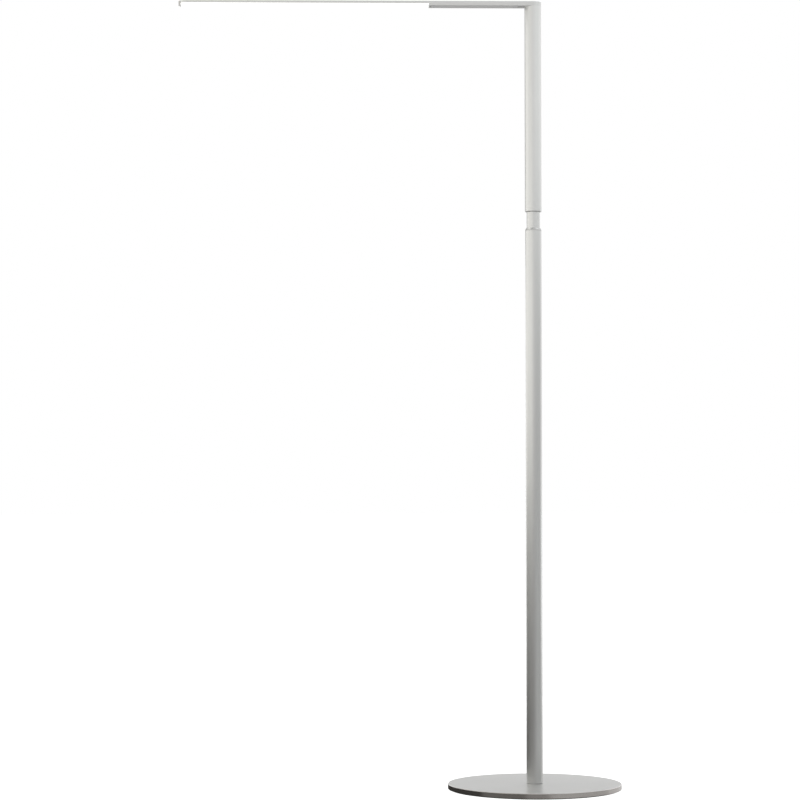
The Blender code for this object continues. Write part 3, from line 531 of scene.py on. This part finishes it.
def make_base(finishes):
    """The disc, its pad, the rear inlet and the bolt that holds the pole."""
    rubber = finishes["black_rubber"]
    steel = finishes["zinc_steel"]
    make_base_disc(finishes["base_metal"], finishes["base_rim_reflection"])
    make_foot_pad(rubber)
    place_on("base", "black_rubber", refined("cable_gland", "lead_inlet", rubber, 0.0005, steps=3))
    make_bolt(steel)
    washer = refined("base_washer", "bolt_washer", steel, FINE_EDGE)
    plug = refined("foot_plug", "pole_foot_plug", steel, BROKEN_EDGE)
    place_on("base", "zinc_steel", washer, plug)


# ---- Screws --------------------------------------------------------------------------------------

SMALL_SCREW_RADIUS = 0.001
CORNER_SCREW_RADIUS = 0.0015
BOLT_RADIUS = 0.003
BOLT_PITCH = 0.001
BOLT_THREAD_DEPTH = 0.00045
SHANK_GAP = 0.00002


def threaded_shank(bm, radius, start, end, pitch, depth, sides=24, rows=5):
    """Helical thread round Z from start to end, which fades out at both ends, closed by flat ends."""
    length = end - start
    count = max(2, int(abs(length) / pitch * rows))
    rings = []
    for row in range(count + 1):
        share = row / count
        height = start + length * share
        fade = min(1.0, min(share, 1 - share) * count / rows)
        ring = []
        for side in range(sides):
            turn = tau * side / sides
            phase = (height / pitch - side / sides) % 1.0
            inset = depth * fade * abs(2 * phase - 1)
            reach = radius - inset - depth * (1 - fade) * 0.5
            ring.append(bm.verts.new((reach * cos(turn), reach * sin(turn), height)))
        rings.append(ring)
    skin(bm, rings)


def socket_screw(name, head_radius, radius, length, finish, socket=0.55):
    """Countersunk screw, its head's top at Z 0 and its shank down to -length, with a hexagon socket."""
    cone = head_radius - radius
    rim = head_radius * 0.12
    neck = -cone - head_radius * 0.3
    outline = rounded([
        (0, 0, 0),
        (head_radius, 0, head_radius * 0.04),
        (head_radius, -rim, 0),
        (radius, -cone - rim, 0),
        (radius * 0.92, neck, 0),
        (0, neck, 0),
    ], steps=3)
    head = turned(name, outline, finish, sides=SMALL_SIDES)
    key = head_radius * socket
    depth = min(cone * 0.9, head_radius * 0.6)
    bm = bmesh.new()
    bmesh.ops.create_cone(bm, cap_ends=True, segments=6, radius1=key * 0.96, radius2=key, depth=depth * 2)
    tool = piece_from(bm, "cut_socket", None)
    carve(head, [tool])
    bm = bmesh.new()
    bm.from_mesh(head.data)
    threaded_shank(bm, radius, neck - SHANK_GAP, -length, radius * 0.42, radius * 0.16)
    bmesh.ops.recalc_face_normals(bm, faces=bm.faces)
    for face in bm.faces:
        face.smooth = True
    bm.to_mesh(head.data)
    bm.free()
    return head


def make_arm_screws(finish):
    """Screws of the driver cover and the end cap from below, and of the corner from above."""
    from_below = [f"cover_screw_{number}" for number in range(1, 5)] + ["end_cap_screw"]
    for node in from_below + ["corner_screw_1", "corner_screw_2"]:
        low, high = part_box(node)
        centre = (low + high) / 2
        radius = SMALL_SCREW_RADIUS if node in from_below else CORNER_SCREW_RADIUS
        made = socket_screw(f"socket_{node}", high.x - centre.x, radius, high.z - low.z, finish)
        if node in from_below:
            move(made, (centre.x, centre.y, low.z), Matrix.Rotation(pi, 4, "X"))
        else:
            move(made, (centre.x, centre.y, high.z))
        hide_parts(node)
        place_on("arm", "zinc_steel", made)


def make_bolt(finish):
    """Hexagon bolt with a chamfered head and a rolled thread."""
    low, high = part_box("base_bolt")
    head_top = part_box("base_washer")[0].z - GAP
    chamfer = (head_top - low.z) * 0.35
    bm = bmesh.new()
    corners = [(high.x * cos(pi / 3 * side), high.x * sin(pi / 3 * side)) for side in range(6)]
    rings = []
    for share, height in ((0.86, low.z), (1.0, low.z + chamfer), (1.0, head_top)):
        rings.append([bm.verts.new((x * share, y * share, height)) for x, y in corners])
    skin(bm, rings)
    threaded_shank(bm, BOLT_RADIUS, head_top + SHANK_GAP, high.z, BOLT_PITCH, BOLT_THREAD_DEPTH,
                   sides=SMALL_SIDES, rows=6)
    made = piece_from(bm, "threaded_bolt", finish)
    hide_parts("base_bolt")
    place_on("base", "zinc_steel", made)


# ---- Leads ---------------------------------------------------------------------------------------

COIL_PITCH = 0.0062
COIL_STEPS = 20
LEAD_SIDES = 10


def make_coiled_lead(jacket):
    """Spiral lead inside the lower tube, made at one length; the real lead stretches as the neck slides up.
    """
    low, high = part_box("coiled_lead")
    radius = high.x - LEAD_RADIUS
    start, end = low.z + LEAD_RADIUS, high.z - LEAD_RADIUS
    turns = round((end - start) / COIL_PITCH)
    total = turns * COIL_STEPS
    slope = (end - start) / (turns * tau)
    bm = bmesh.new()
    rings = []
    for step in range(total + 1):
        turn = pi / 2 + tau * step / COIL_STEPS
        out = Vector((cos(turn), sin(turn), 0))
        along = Vector((-sin(turn) * radius, cos(turn) * radius, slope)).normalized()
        up = out.cross(along)
        centre = out * radius + Vector((0, 0, start + (end - start) * step / total))
        ring = []
        for side in range(LEAD_SIDES):
            angle = tau * side / LEAD_SIDES
            offset = (out * cos(angle) + up * sin(angle)) * LEAD_RADIUS
            ring.append(bm.verts.new(centre + offset))
        rings.append(ring)
    skin(bm, rings)
    coil = piece_from(bm, "spiral_lead", jacket)
    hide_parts("coiled_lead")
    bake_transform(coil)


# ---- Swivel --------------------------------------------------------------------------------------

def make_swivel(finishes):
    """Cap, washers, nut and bushings of the swivel, and the slider's parts, with broken edges."""
    for node, name, body, slot, edge in (
        ("swivel_cap", "neck_cap", "neck", "zinc_steel", SOFT_EDGE),
        ("wave_washer", "spring_washer", "neck", "zinc_steel", FINE_EDGE),
        ("stem_nut", "swivel_nut", "neck", "zinc_steel", 0.0004),
        ("thrust_washer", "thrust_ring", "neck", "white_bearing", SOFT_EDGE),
        ("friction_washer", "friction_disc", "neck", "white_bearing", FINE_EDGE),
        ("slider_plug", "slider", "neck", "white_bearing", 0.00015),
        ("swivel_bushing_lower", "bushing_lower", "arm", "white_bearing", SOFT_EDGE),
        ("swivel_bushing_upper", "bushing_upper", "arm", "white_bearing", SOFT_EDGE),
        ("swivel_plate", "swivel_block", "arm", "zinc_steel", BROKEN_EDGE),
        ("stop_pin", "dowel_pin", "arm", "zinc_steel", FINE_EDGE),
        ("corner_plug", "corner_block", "arm", "zinc_steel", BROKEN_EDGE),
        ("guide_liner", "guide_sleeve", "base", "white_bearing", SOFT_EDGE),
    ):
        place_on(body, slot, refined(node, name, finishes[slot], edge))


# ---- Arm -----------------------------------------------------------------------------------------

TOUCH_DISH = 0.00018
TOUCH_RING_MOUTH = 0.00035
TOUCH_RING_FLOOR = 0.0002
LED_EDGE = 0.00012
LED_RIM = 0.00035
LED_RECESS = 0.00015
COIL_ROWS = 7
CHIP_REACH = 0.0005
CHIP_LEGS = 6
LEG_THICKNESS = 0.0001


def make_touch_disc(plastic):
    """Shallow dished touch surface with a fine ring in it."""
    low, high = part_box("touch_disc")
    outer = high.x
    ring = outer * 0.62
    ring_floor = high.z - TOUCH_DISH * 1.9
    outline = [(0, low.z)] + rounded([
        (outer, low.z, FINE_EDGE),
        (outer, high.z, SOFT_EDGE),
        (outer * 0.94, high.z, 0),
        (ring + TOUCH_RING_MOUTH, high.z - TOUCH_DISH * 0.6, 0),
        (ring + TOUCH_RING_FLOOR, ring_floor, 0),
        (ring - TOUCH_RING_FLOOR, ring_floor, 0),
        (ring - TOUCH_RING_MOUTH, high.z - TOUCH_DISH * 0.7, 0),
    ], steps=4)
    outline += [(outer * 0.3, high.z - TOUCH_DISH * 0.94), (0, high.z - TOUCH_DISH)]
    disc = turned("dimmer_disc", outline, plastic)
    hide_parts("touch_disc")
    place_on("arm", "touch_plastic", disc)


def broken_box(bm, low, high, edge, upper_rim=False):
    """Box with its upright edges and its lower rim rounded, or its upper rim too; returns its lower face."""
    fill_box(bm, low, high)
    below_top = high[2] - SAME_PLACE
    broken = [e for e in bm.edges if upper_rim or any(v.co.z < below_top for v in e.verts)]
    bmesh.ops.bevel(bm, geom=broken, offset=edge, segments=2, profile=0.5, affect="EDGES",
                    offset_type="OFFSET")
    return min(bm.faces, key=lambda face: face.calc_center_median().z)


def make_leds(finishes):
    """LED packages: a white body with a recessed round-cornered window of phosphor, facing down."""
    for number in range(1, 11):
        node = f"led_{number:02d}"
        low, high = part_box(node)
        bm = bmesh.new()
        window = broken_box(bm, low, high, LED_EDGE)
        bmesh.ops.inset_region(bm, faces=[window], thickness=LED_RIM, depth=0)
        bmesh.ops.inset_region(bm, faces=[window], thickness=LED_EDGE, depth=-LED_RECESS)
        window.material_index = 1
        made = piece_from(bm, f"package_{number:02d}", finishes["white_bearing"])
        made.data.materials.append(finishes["led_emitter"])
        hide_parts(node)
        place_on("arm", "led_emitter", made)


def make_boards(finishes):
    """Circuit boards with broken edges."""
    for node, name in (
        ("led_board", "strip_board"),
        ("driver_board", "power_board"),
        ("touch_sensor", "sensor_board"),
    ):
        made = refined(node, name, finishes["circuit_board"], FINE_EDGE)
        place_on("arm", "circuit_board", made)


def make_inductor(finishes):
    """Drum of wound wire between two flanges, in the coil's place."""
    low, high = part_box("driver_coil")
    centre = (low + high) / 2
    radius = (high.x - low.x) / 2 * 0.98
    height = high.z - low.z
    drum = radius * 0.45
    lower, upper = height * 0.16, height * 0.84
    core = turned("inductor_core", rounded([
        (0, 0, 0),
        (radius, 0, SOFT_EDGE),
        (radius, lower, FINE_EDGE),
        (drum, lower, 0),
        (drum, upper, 0),
        (radius, upper, FINE_EDGE),
        (radius, height, SOFT_EDGE),
        (0, height, 0),
    ], steps=3), finishes["component_black"], sides=SMALL_SIDES)
    first, last = height * 0.17, height * 0.83
    wire = height * 0.66 / COIL_ROWS / 2
    profile = [(radius * 0.5, first)]
    for row in range(COIL_ROWS):
        middle = first + wire * (2 * row + 1)
        for step in range(7):
            angle = -pi / 2 + pi * step / 6
            # A little flat, so that neighbouring rows don't share a point.
            profile.append((radius * 0.82 + wire * cos(angle), middle + wire * sin(angle) * 0.999))
    profile.append((radius * 0.5, last))
    winding = turned("inductor_winding", profile, finishes["copper_wire"], sides=SMALL_SIDES)
    for piece in (core, winding):
        move(piece, (centre.x, centre.y, low.z))
        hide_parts("driver_coil")
        place_on("arm", "component_black", piece)


def make_capacitor(finishes):
    """Small can lying across the board, with rounded ends and a rolled groove."""
    low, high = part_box("driver_capacitor")
    centre = (low + high) / 2
    radius = min(high.x - low.x, high.z - low.z) / 2
    length = high.y - low.y
    outline = rounded([
        (0, 0, 0),
        (radius * 0.86, 0, radius * 0.1),
        (radius, radius * 0.16, radius * 0.08),
        (radius, length - radius * 0.9, 0),
        (radius * 0.88, length - radius * 0.7, 0),
        (radius, length - radius * 0.5, 0),
        (radius, length - radius * 0.1, radius * 0.08),
        (radius * 0.8, length, 0),
        (0, length, 0),
    ], steps=3)
    can = turned("power_capacitor", outline, finishes["capacitor_metal"], sides=SMALL_SIDES)
    move(can, (centre.x, low.y, high.z - radius), Matrix.Rotation(-pi / 2, 4, "X"))
    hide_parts("driver_capacitor")
    place_on("arm", "capacitor_metal", can)


def leg_section(half, board):
    """Bent leg seen from its side: out of the body, up to the board above it and out along that."""
    foot = half + CHIP_REACH
    return [
        (half - LEG_THICKNESS, board - 0.0005),
        (half + 0.0002, board - 0.0005),
        (half + 0.0003, board),
        (foot, board),
        (foot, board - LEG_THICKNESS),
        (half + 0.00037, board - LEG_THICKNESS),
        (half + 0.00027, board - 0.0006),
        (half - LEG_THICKNESS, board - 0.0006),
    ]


def make_chip(finishes):
    """Square package: a body with broken edges, and four rows of bent legs."""
    low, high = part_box("driver_chip")
    body_low = (low.x + CHIP_REACH, low.y + CHIP_REACH, low.z)
    body_high = (high.x - CHIP_REACH, high.y - CHIP_REACH, high.z - LEG_THICKNESS)
    bm = bmesh.new()
    broken_box(bm, body_low, body_high, FINE_EDGE, upper_rim=True)
    body = piece_from(bm, "driver_package", finishes["component_black"])

    side_length = body_high[0] - body_low[0]
    section = leg_section(side_length / 2, high.z)
    leg_half = side_length / (CHIP_LEGS * 4)
    middle = Vector(((low.x + high.x) / 2, (low.y + high.y) / 2, 0))
    bm = bmesh.new()
    for quarter in range(4):
        spin = Matrix.Rotation(pi / 2 * quarter, 4, "Z")
        for leg in range(CHIP_LEGS):
            across = side_length * ((leg + 0.5) / CHIP_LEGS - 0.5) * 0.86
            rings = []
            for y in (across - leg_half, across + leg_half):
                rings.append([bm.verts.new(spin @ Vector((x, y, z)) + middle) for x, z in section])
            skin(bm, rings)
    pins = piece_from(bm, "driver_pins", finishes["zinc_steel"])
    for piece, slot in ((body, "component_black"), (pins, "zinc_steel")):
        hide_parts("driver_chip")
        place_on("arm", slot, piece)


def make_arm(finishes):
    """The bar, its cover, end lip and diffuser, with their edges broken, and what is inside."""
    metal = finishes["arm_metal"]
    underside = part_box("arm_frame")[0].z

    def joins_pole(place):
        """Tells whether a place is on the bar's lower edge where it runs into the pole."""
        return place.z < underside + GAP and place.x > -0.001 and place.xy.length > 0.011

    place_on("arm", "satin_metal", refined("arm_frame", "arm_bar", metal, 0.00025, keep_sharp=joins_pole))
    place_on("arm", "satin_metal", refined("driver_cover", "cover_plate", metal, 0.00015))
    # The tip lip takes the darker silver, a painted shade.
    place_on("arm", "satin_metal", refined("end_cap", "tip_lip", finishes["shaded_lip_metal"], SOFT_EDGE))
    place_on("arm", "opal_diffuser", refined("diffuser", "opal_trough", finishes["opal_diffuser"], SOFT_EDGE))
    make_touch_disc(finishes["touch_plastic"])
    make_arm_screws(finishes["zinc_steel"])
    make_leds(finishes)
    make_boards(finishes)
    make_inductor(finishes)
    make_capacitor(finishes)
    make_chip(finishes)


# ---- World, floor and lights ---------------------------------------------------------------------

PANEL_WIDTH = 0.86
PANEL_TIERS = (
    # distance, height, height of the aim, panel's height
    (1.3, 2.3, 0.9, 0.86),
    (1.6, 1.35, 1.35, 0.9),
    (1.6, 0.65, 0.65, 0.5),
    (1.6, 0.2, 0.2, 0.4),
    (1.6, -0.4, -0.4, 0.7),
)
PANEL_STEP = 30
PANEL_ZONES = (
    # first and last angle from the camera's side, positive to the right; power in each tier
    (-180, -180, (0.9, 1.0, 0.7, 1.3, 0.4)),
    (-150, -150, (0.8, 1.0, 2.1, 1.6, 0.0)),
    (-120, -90, (2.6, 3.3, 1.9, 0.2, 0.0)),
    (-60, -30, (0.8, 2.8, 2.0, 0.1, 0.3)),
    (0, 0, (2.2, 2.5, 1.2, 0.3, 0.6)),
    (30, 90, (2.4, 2.9, 0.8, 0.6, 1.1)),
    (120, 150, (2.4, 3.0, 1.5, 1.6, 1.4)),
)
TOP_POWER = 6.0
TOP_HEIGHT = 2.6
TOP_SIZE = 2.0
TOP_SHIFT = -0.2
WARM = (1.0, 0.995, 0.965)
NEUTRAL = (1.0, 1.0, 1.0)
COOL = (0.985, 1.0, 1.0)
SKY_HIGH = (0.02, 0.02, 0.02)
SKY_LOW = (0.04, 0.038, 0.036)
HORIZON_BLUR = 0.08
FLOOR_RADIUS = 30.0
FLOOR_THICKNESS = 0.05
DOME_INNER = 29.5
DOME_OUTER = 29.8
DOME_DROP = 0.02
DOME_STEPS = 12
GLOW_NEAR = 0.2
GLOW_FAR = 1.5


def make_world():
    """Dim plain sky: one tone above the horizon, a slightly lighter and warmer one below."""
    world = bpy.data.worlds.new("studio")
    scene.world = world
    world.use_nodes = True
    tree = world.node_tree
    background = tree.nodes["Background"]
    direction = add_node(tree, "ShaderNodeTexCoord").outputs["Generated"]
    parts = add_node(tree, "ShaderNodeSeparateXYZ")
    tree.links.new(direction, parts.inputs["Vector"])
    height = add_node(tree, "ShaderNodeMapRange", {"From Min": -HORIZON_BLUR, "From Max": HORIZON_BLUR})
    tree.links.new(parts.outputs["Z"], height.inputs["Value"])
    mix = add_node(tree, "ShaderNodeMix", data_type="RGBA")
    mix.inputs["A"].default_value = (*SKY_LOW, 1.0)
    mix.inputs["B"].default_value = (*SKY_HIGH, 1.0)
    tree.links.new(height.outputs["Result"], mix.inputs["Factor"])
    tree.links.new(mix.outputs["Result"], background.inputs["Color"])


def seen_by_camera_only(made):
    """The object shows, but it neither lights, reflects in nor shadows the lamp."""
    made.visible_diffuse = False
    made.visible_glossy = False
    made.visible_transmission = False
    made.visible_volume_scatter = False
    made.visible_shadow = False


def glowing_white(name, near, far, albedo):
    """Matt white that glows: at near strength round the lamp, and at far strength further out."""
    made = bpy.data.materials.new(name)
    made.use_nodes = True
    tree = made.node_tree
    shader = tree.nodes["Principled BSDF"]
    shader.inputs["Base Color"].default_value = (albedo, albedo, albedo, 1.0)
    shader.inputs["Roughness"].default_value = 0.9
    shader.inputs["Specular IOR Level"].default_value = 0.0
    shader.inputs["Emission Color"].default_value = (1.0, 1.0, 1.0, 1.0)
    place = add_node(tree, "ShaderNodeTexCoord").outputs["Object"]
    distance = add_node(tree, "ShaderNodeVectorMath", operation="LENGTH")
    tree.links.new(place, distance.inputs[0])
    fall = add_node(tree, "ShaderNodeMapRange",
                    {"From Min": GLOW_NEAR, "From Max": GLOW_FAR, "To Min": near, "To Max": far})
    tree.links.new(distance.outputs["Value"], fall.inputs["Value"])
    tree.links.new(fall.outputs["Result"], shader.inputs["Emission Strength"])
    return made


def quarter_arc(radius):
    """Points from the floor up to the axis, on a circle about the origin."""
    turns = [pi / 2 * step / DOME_STEPS for step in range(DOME_STEPS + 1)]
    return [(radius * cos(turn), radius * sin(turn) - DOME_DROP) for turn in turns]


def make_stage():
    """Pale floor and a white backdrop all round."""
    floor_outline = [(0, 0), (FLOOR_RADIUS, 0), (FLOOR_RADIUS, -FLOOR_THICKNESS), (0, -FLOOR_THICKNESS)]
    floor = turned("floor", floor_outline, glowing_white("floor", 0.93, 1.0, 0.5))
    dome_outline = quarter_arc(DOME_INNER) + quarter_arc(DOME_OUTER)[::-1]
    dome = turned("backdrop", dome_outline, glowing_white("backdrop", 1.0, 1.0, 0.0))
    seen_by_camera_only(floor)
    seen_by_camera_only(dome)


def make_panel(name, place, target, width, height, power, colour):
    """Soft rectangular light that aims at a point."""
    data = bpy.data.lights.new(name, "AREA")
    data.shape = "RECTANGLE"
    data.size = width
    data.size_y = height
    data.energy = power
    data.color = colour
    panel = bpy.data.objects.new(name, data)
    scene.collection.objects.link(panel)
    panel.location = place
    panel.rotation_euler = (Vector(target) - Vector(place)).to_track_quat("-Z", "Y").to_euler()
    panel.visible_camera = False


def make_tiers(angle, powers):
    """Column of soft panels at an angle, one in each tier that has power."""
    turn = radians(angle)
    colour = WARM if -130 < angle < -20 else COOL if 20 < angle < 130 else NEUTRAL
    for tier, (away, height, aim, size) in enumerate(PANEL_TIERS):
        if powers[tier] > 0:
            place = (away * sin(turn), -away * cos(turn), height)
            make_panel(f"panel_{tier}_{angle}", place, (0, 0, aim), PANEL_WIDTH, size, powers[tier], colour)


def make_lights():
    """Rings of soft panels, bright overhead and darker on the left below, and one straight above."""
    for first, last, powers in PANEL_ZONES:
        for angle in range(first, last + 1, PANEL_STEP):
            make_tiers(angle, powers)
    above = (TOP_SHIFT, 0, TOP_HEIGHT)
    make_panel("panel_top", above, (TOP_SHIFT, 0.001, 0), TOP_SIZE, TOP_SIZE, TOP_POWER, NEUTRAL)


# ---- The whole scene -----------------------------------------------------------------------------

NODE_FINISHES = {
    "base_metal": ["base_plate"],
    "arm_metal": ["arm_frame", "driver_cover", "end_cap", "corner_plug"],
    "zinc_steel": ["base_bolt", "base_washer", "foot_plug", "swivel_cap", "wave_washer", "stem_nut",
                   "swivel_plate", "stop_pin", "corner_screw_1", "corner_screw_2", "end_cap_screw",
                   "cover_screw_1", "cover_screw_2", "cover_screw_3", "cover_screw_4"],
    "black_rubber": ["foot_pad", "cable_gland", "friction_ring_1", "friction_ring_2"],
    "white_bearing": ["guide_liner", "slider_plug", "thrust_washer", "friction_washer",
                      "swivel_bushing_lower", "swivel_bushing_upper"],
    "cable_jacket": ["base_lead", "coiled_lead", "neck_lead", "arm_lead", "led_lead"],
    "circuit_board": ["driver_board", "led_board", "touch_sensor"],
    "component_black": ["driver_coil", "driver_chip"],
    "capacitor_metal": ["driver_capacitor"],
    "led_emitter": [f"led_{number:02d}" for number in range(1, 11)],
    "opal_diffuser": ["diffuser"],
    "touch_plastic": ["touch_disc"],
}


def dress_nodes(finishes):
    """Gives each carried-over CAD node its finish."""
    for finish, nodes in NODE_FINISHES.items():
        for node in nodes:
            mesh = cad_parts[node].data
            mesh.materials.clear()
            mesh.materials.append(finishes[finish])


def main():
    """Builds the scene in order: camera, finishes, pieces, stage and lights."""
    make_camera()
    finishes = make_finishes()
    dress_nodes(finishes)
    make_base(finishes)
    make_pole(finishes)
    make_coiled_lead(finishes["cable_jacket"])
    make_swivel(finishes)
    make_arm(finishes)
    make_world()
    make_stage()
    make_lights()
    scene.view_settings.view_transform = "Standard"


main()
